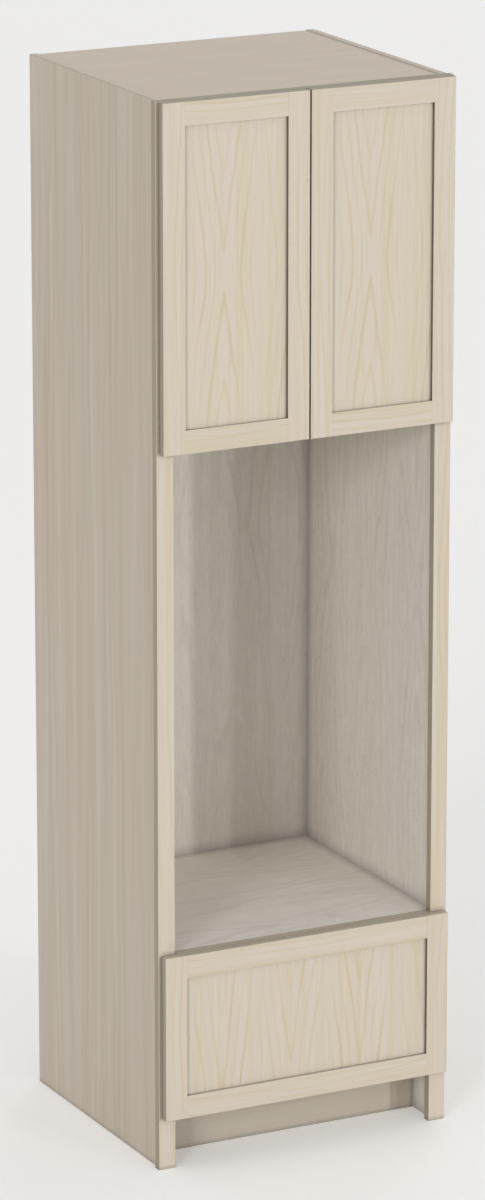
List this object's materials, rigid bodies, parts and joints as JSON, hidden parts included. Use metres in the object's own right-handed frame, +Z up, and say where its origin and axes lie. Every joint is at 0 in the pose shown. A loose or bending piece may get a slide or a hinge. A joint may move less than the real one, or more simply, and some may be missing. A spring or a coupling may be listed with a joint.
{
  "type": "tall oven housing unit",
  "caption": "Tall face-frame kitchen cabinet with a pair of framed doors above an open oven space and one wide framed drawer below.",
  "frame": {"origin": "on the floor, under the middle of the whole unit's box (width and depth, with the doors and drawer closed)", "axes": "+Z up, +X to the right as seen from the front, +Y towards the wall; the doors and drawer face -Y"},
  "size_m": [0.6858, 0.6306, 2.286],
  "materials": {
    "face_wood": "clear-coated pale maple",
    "panel_veneer": "clear-coated maple veneer with long yellow grain",
    "case_veneer": "satin veneer",
    "inside_veneer": "satin sliced veneer",
    "toe_board": "matt",
    "drawer_wood": "clear-coated maple",
    "hinge_nickel": "nickel-plated pressed steel",
    "runner_zinc": "zinc-plated rolled steel"
  },
  "bodies": {
    "root": {"adjustable_shelf": "inside_veneer", "back_panel": "inside_veneer", "bottom_panel": "inside_veneer", "cupboard_floor": "inside_veneer", "deck_support_left": "inside_veneer", "deck_support_right": "inside_veneer", "frame_rail_bottom": "face_wood", "frame_rail_over_oven": "face_wood", "frame_rail_top": "face_wood", "frame_rail_under_oven": "face_wood", "frame_stile_left": "face_wood", "frame_stile_right": "face_wood", "hinge_arm_left_lower": "hinge_nickel", "hinge_arm_left_upper": "hinge_nickel", "hinge_arm_right_lower": "hinge_nickel", "hinge_arm_right_upper": "hinge_nickel", "oven_deck": "inside_veneer", "runner_case_left": "runner_zinc", "runner_case_right": "runner_zinc", "shelf_pin_left_front": "hinge_nickel", "shelf_pin_left_rear": "hinge_nickel", "shelf_pin_right_front": "hinge_nickel", "shelf_pin_right_rear": "hinge_nickel", "side_panel_left": "case_veneer", "side_panel_right": "case_veneer", "toe_kick_board": "toe_board", "top_panel": "case_veneer"},
    "link_left": {"hinge_link_left_lower": "hinge_nickel", "hinge_link_left_upper": "hinge_nickel"},
    "link_right": {"hinge_link_right_lower": "hinge_nickel", "hinge_link_right_upper": "hinge_nickel"},
    "door_left": {"door_left_bottom_rail": "face_wood", "door_left_hinge_stile": "face_wood", "door_left_meeting_stile": "face_wood", "door_left_panel": "panel_veneer", "door_left_top_rail": "face_wood", "hinge_cup_left_lower": "hinge_nickel", "hinge_cup_left_upper": "hinge_nickel"},
    "door_right": {"door_right_bottom_rail": "face_wood", "door_right_hinge_stile": "face_wood", "door_right_meeting_stile": "face_wood", "door_right_panel": "panel_veneer", "door_right_top_rail": "face_wood", "hinge_cup_right_lower": "hinge_nickel", "hinge_cup_right_upper": "hinge_nickel"},
    "runner_middle": {"runner_middle_left": "runner_zinc", "runner_middle_right": "runner_zinc"},
    "drawer": {"drawer_bottom": "drawer_wood", "drawer_box_back": "drawer_wood", "drawer_box_front": "drawer_wood", "drawer_front_bottom_rail": "face_wood", "drawer_front_panel": "panel_veneer", "drawer_front_stile_left": "face_wood", "drawer_front_stile_right": "face_wood", "drawer_front_top_rail": "face_wood", "drawer_side_left": "drawer_wood", "drawer_side_right": "drawer_wood", "runner_drawer_left": "runner_zinc", "runner_drawer_right": "runner_zinc"}
  },
  "joints": [
    {"name": "link_left_pivot", "type": "hinge", "parent": "root", "child": "link_left", "pos_m": [-0.30221, -0.29641, 1.644], "axis": [0, 0, 1], "range_deg": [0, 38]},
    {"name": "door_left_hinge", "type": "hinge", "parent": "link_left", "child": "door_left", "pos_m": [-0.32514, -0.30014, 1.92], "axis": [0, 0, -1], "range_deg": [0, 142.8]},
    {"name": "link_right_pivot", "type": "hinge", "parent": "root", "child": "link_right", "pos_m": [0.30221, -0.29641, 1.644], "axis": [0, 0, -1], "range_deg": [0, 38]},
    {"name": "door_right_hinge", "type": "hinge", "parent": "link_right", "child": "door_right", "pos_m": [0.32514, -0.30014, 1.92], "axis": [0, 0, 1], "range_deg": [0, 142.8]},
    {"name": "drawer_slide", "type": "slide", "parent": "root", "child": "drawer", "axis": [0, -1, 0], "range_m": [0, 0.5]},
    {"name": "runner_middle_slide", "type": "slide", "parent": "root", "child": "runner_middle", "axis": [0, -1, 0], "range_m": [0, 0.251]}
  ],
  "couplings": [
    {"joint": "link_left_pivot", "follows": "door_left_hinge", "ratio": 0.26471},
    {"joint": "link_right_pivot", "follows": "door_right_hinge", "ratio": 0.26471},
    {"joint": "runner_middle_slide", "follows": "drawer_slide", "ratio": 0.5}
  ]
}
